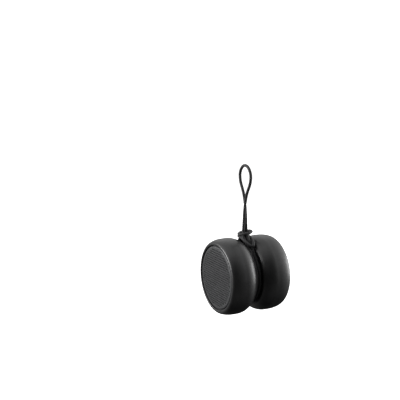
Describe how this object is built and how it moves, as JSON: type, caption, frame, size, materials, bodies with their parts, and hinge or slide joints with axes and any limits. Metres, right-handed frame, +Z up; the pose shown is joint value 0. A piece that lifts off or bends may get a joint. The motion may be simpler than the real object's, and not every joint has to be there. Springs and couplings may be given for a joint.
{
  "type": "shower speaker",
  "caption": "Small twin-drum wireless speaker with perforated metal ends, hung by a cord loop knotted round its narrow waist.",
  "frame": {"origin": "hang point: the inside top of the lanyard loop, where a finger or hook holds it", "axes": "+Z up along the hanging lanyard; +X along the axis of the two drums, from the driver end to the radiator end; +Y towards the rear with the controls"},
  "size_m": [0.0324, 0.038, 0.0745],
  "materials": {
    "skin": "matte soft-touch black",
    "shell_plastic": "fine moulded texture",
    "seal_rubber": "matte",
    "screw_steel": "zinc plated",
    "grille_metal": "powder coated, perforated",
    "membrane_cloth": "fine woven",
    "driver_steel": "zinc grey",
    "surround_rubber": "matte",
    "cone_paper": "pressed pulp",
    "coil_copper": "enamelled wire",
    "spider_cloth": "resin-stiffened cloth",
    "magnet": "sintered ferrite",
    "lead_insulation": "glossy insulation",
    "radiator_plate": "anodised",
    "battery_wrap": "shrink wrap",
    "foam": "open-cell foam",
    "circuit_board": "solder mask",
    "chip_shield": "tin plated",
    "chip_black": "moulded epoxy",
    "led_white": "ceramic",
    "light_guide": "frosted clear",
    "switch_plunger": "moulded",
    "button_rubber": "matte",
    "socket_steel": "drawn shell",
    "cover_rubber": "matte",
    "cord": "braided polyester"
  },
  "bodies": {
    "lanyard": {"lanyard_loop": "cord", "lanyard_knot": "cord", "lanyard_waist_wrap": "cord"},
    "speaker": {"left_skin": "skin", "right_skin": "skin", "left_cup": "shell_plastic", "right_cup": "shell_plastic", "waist_hub": "shell_plastic", "left_hub_gasket": "seal_rubber", "right_hub_gasket": "seal_rubber", "hub_screws": "screw_steel", "left_grille": "grille_metal", "right_grille": "grille_metal", "left_membrane": "membrane_cloth", "right_membrane": "membrane_cloth", "driver_gasket": "seal_rubber", "driver_frame": "driver_steel", "driver_surround": "surround_rubber", "driver_spider": "spider_cloth", "driver_top_plate": "driver_steel", "driver_magnet": "magnet", "driver_yoke": "driver_steel", "driver_screws": "screw_steel", "driver_leads": "lead_insulation", "radiator_gasket": "seal_rubber", "radiator_frame": "shell_plastic", "radiator_surround": "surround_rubber", "radiator_screws": "screw_steel", "battery": "battery_wrap", "battery_pads": "foam", "battery_leads": "lead_insulation", "main_board": "circuit_board", "board_screws": "screw_steel", "radio_module": "chip_shield", "amplifier_chip": "chip_black", "charger_chip": "chip_black", "power_inductors": "chip_black", "microphone": "chip_shield", "status_led": "led_white", "status_light": "light_guide", "power_switch": "chip_black", "usb_socket": "socket_steel", "port_cover_anchor": "cover_rubber"},
    "driver_moving_assembly": {"driver_cone": "cone_paper", "driver_dust_cap": "cone_paper", "driver_voice_coil": "coil_copper"},
    "radiator_moving_assembly": {"radiator_diaphragm": "radiator_plate", "radiator_weight": "driver_steel"},
    "power_button": {"power_button": "button_rubber", "switch_plunger": "switch_plunger"},
    "port_cover": {"port_cover": "cover_rubber"}
  },
  "joints": [
    {"name": "waist_swivel", "type": "hinge", "parent": "lanyard", "child": "speaker", "pos_m": [0, 0, -0.054], "axis": [1, 0, 0], "continuous": true},
    {"name": "button_press", "type": "slide", "parent": "speaker", "child": "power_button", "axis": [0, -0.6691, -0.7431], "range_m": [0, 0.0005], "stiffness_N_per_m": 5000, "springref_m": -0.0001},
    {"name": "port_cover_hinge", "type": "hinge", "parent": "speaker", "child": "port_cover", "pos_m": [0.00758, 0.01694, -0.0613], "axis": [-1, 0, 0], "range_deg": [0, 110]},
    {"name": "driver_stroke", "type": "slide", "parent": "speaker", "child": "driver_moving_assembly", "axis": [-1, 0, 0], "range_m": [-0.0007, 0.0007], "stiffness_N_per_m": 1400, "deforming": ["driver_surround", "driver_spider"]},
    {"name": "radiator_stroke", "type": "slide", "parent": "speaker", "child": "radiator_moving_assembly", "axis": [1, 0, 0], "range_m": [-0.0009, 0.0009], "stiffness_N_per_m": 900, "deforming": ["radiator_surround"]}
  ]
}
